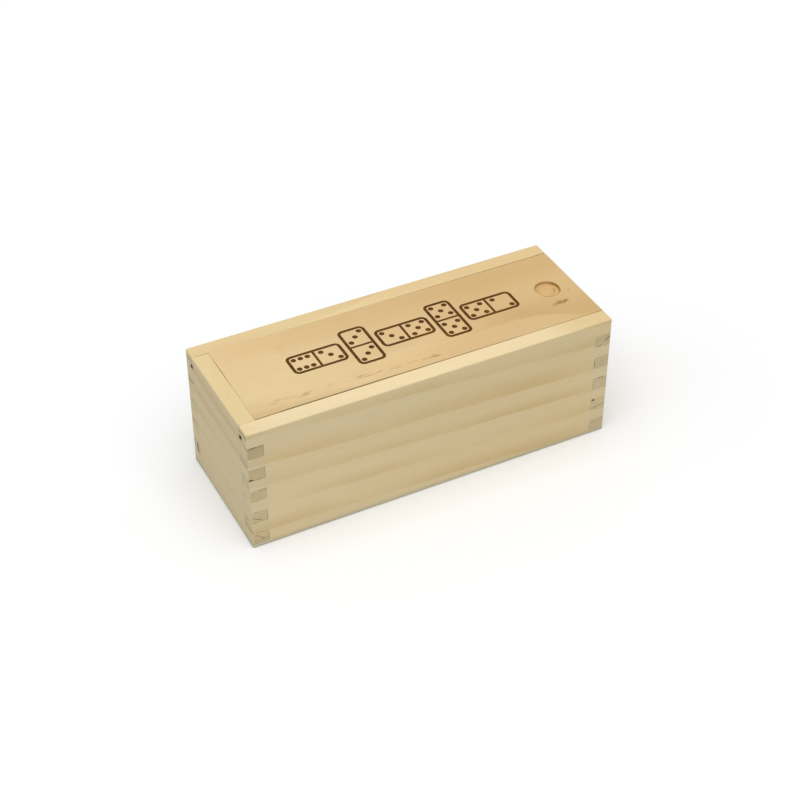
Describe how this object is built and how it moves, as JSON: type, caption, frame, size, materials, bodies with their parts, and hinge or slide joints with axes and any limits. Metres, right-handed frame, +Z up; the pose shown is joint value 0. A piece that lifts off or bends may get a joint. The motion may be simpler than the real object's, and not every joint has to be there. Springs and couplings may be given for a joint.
{
  "type": "domino storage box",
  "caption": "Long finger-jointed wooden box whose flush lid slides out along grooves in the side boards; stores a set of dominoes.",
  "frame": {"origin": "centre of the underside of the closed box", "axes": "+X along the length, towards the end where the lid slides out; +Y towards the back side board; +Z up"},
  "size_m": [0.163, 0.061, 0.0585],
  "materials": {
    "side_pine": "bare sanded pine",
    "end_pine": "bare sanded pine, end grain at the fingers",
    "panel_wood": "thin bare wood panel",
    "lid_pine": "bare sanded pine, warmer in tone"
  },
  "bodies": {
    "box": {"front_side": "side_pine", "back_side": "side_pine", "left_end": "end_pine", "right_end": "end_pine", "bottom_panel": "panel_wood"},
    "lid": {"sliding_lid": "lid_pine"}
  },
  "joints": [
    {"name": "lid_slide", "type": "slide", "parent": "box", "child": "lid", "axis": [1, 0, 0], "range_m": [0, 0.155]}
  ]
}
